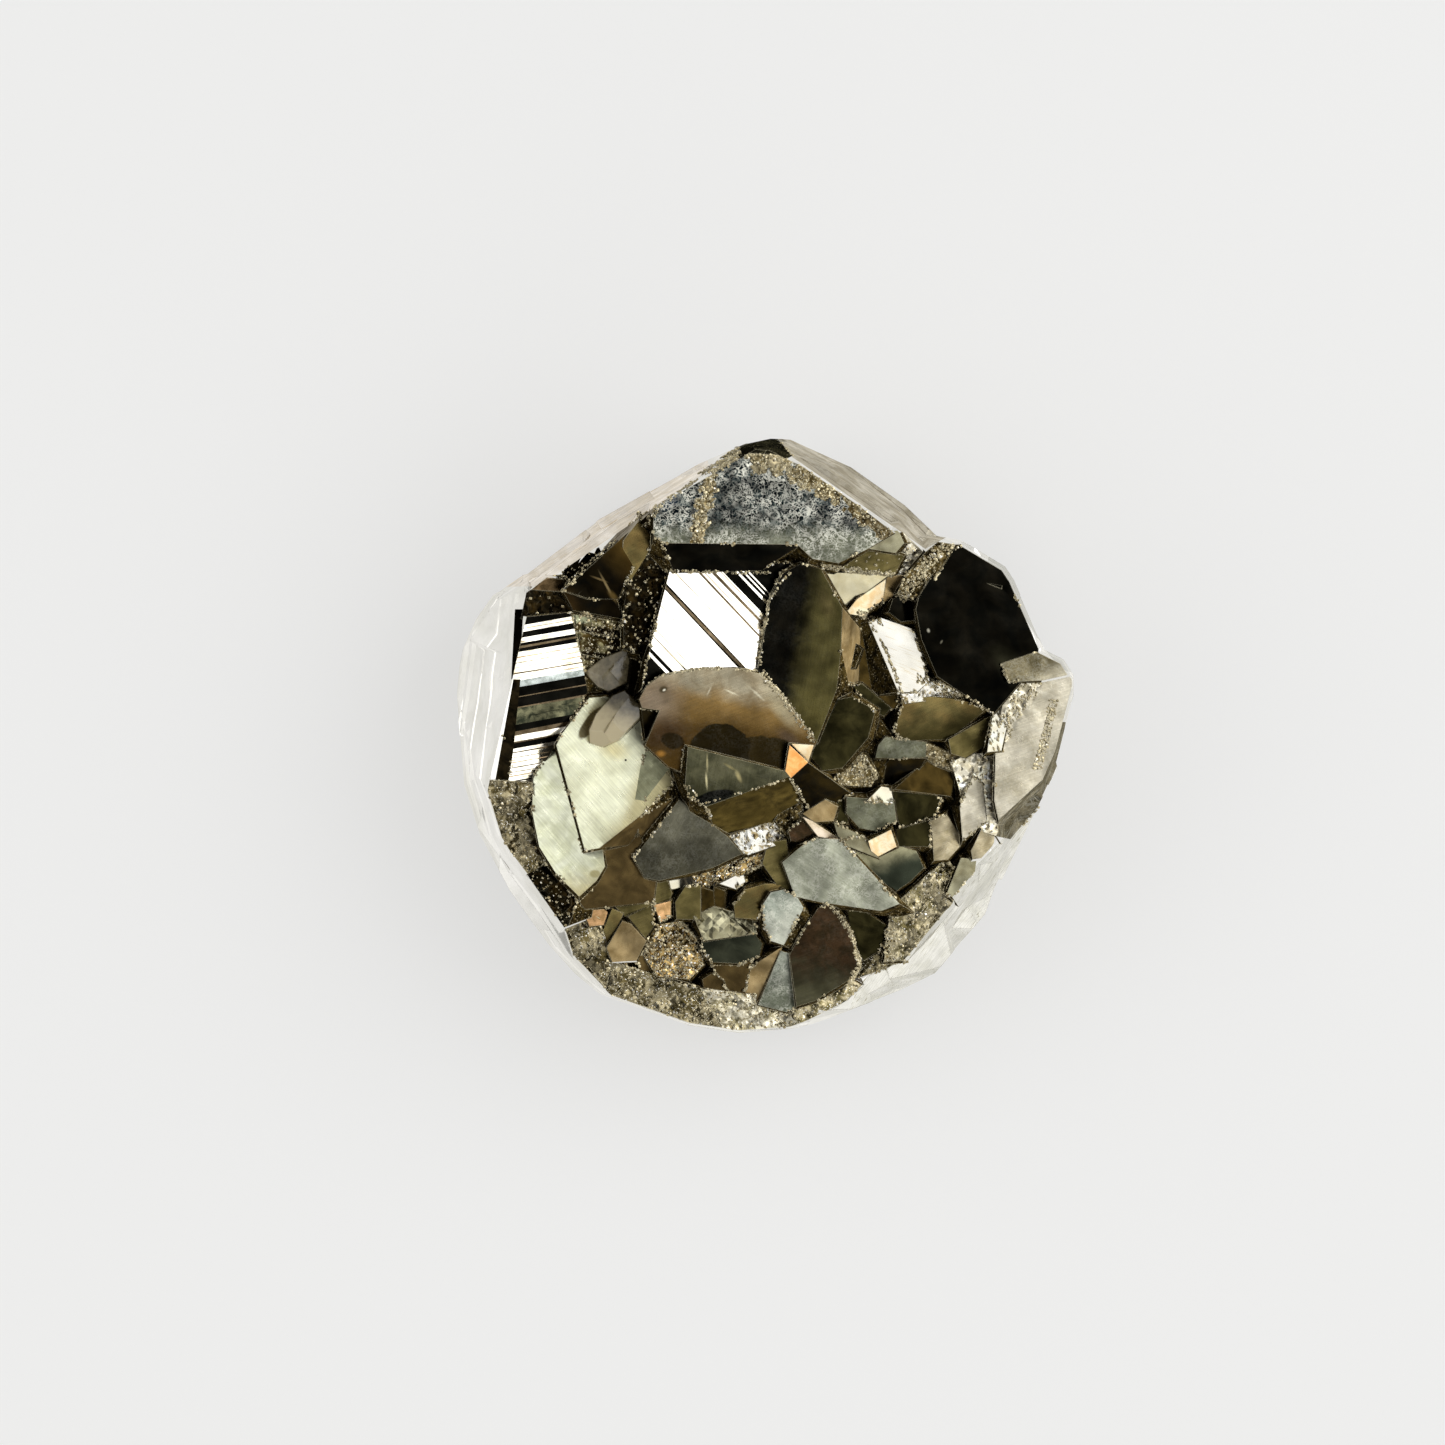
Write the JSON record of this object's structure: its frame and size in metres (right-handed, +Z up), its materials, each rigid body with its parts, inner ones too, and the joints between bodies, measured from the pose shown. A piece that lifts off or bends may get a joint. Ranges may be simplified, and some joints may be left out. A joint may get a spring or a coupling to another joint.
{
  "type": "pyrite cluster",
  "caption": "Cluster of intergrown brassy pyrite crystals with bright striped and dark mirror-like faces, crusted seams and small grey quartz crystals; a display mineral specimen.",
  "frame": {"origin": "centre of the outline seen from above, on the plane that the cluster rests on", "axes": "+Z up; the tall crown crystal is at +Y; +X to the right of the crown seen from above"},
  "size_m": [0.0432, 0.0417, 0.0236],
  "materials": {
    "pyrite": "natural crystal faces, mirror bright to tarnished grey, with granular crust in the seams",
    "quartz": "translucent grey, faintly frosted"
  },
  "bodies": {
    "root": {"pyrite_cluster": "pyrite", "quartz_crystal_upper": "quartz", "quartz_crystal_lower": "quartz"}
  },
  "joints": []
}
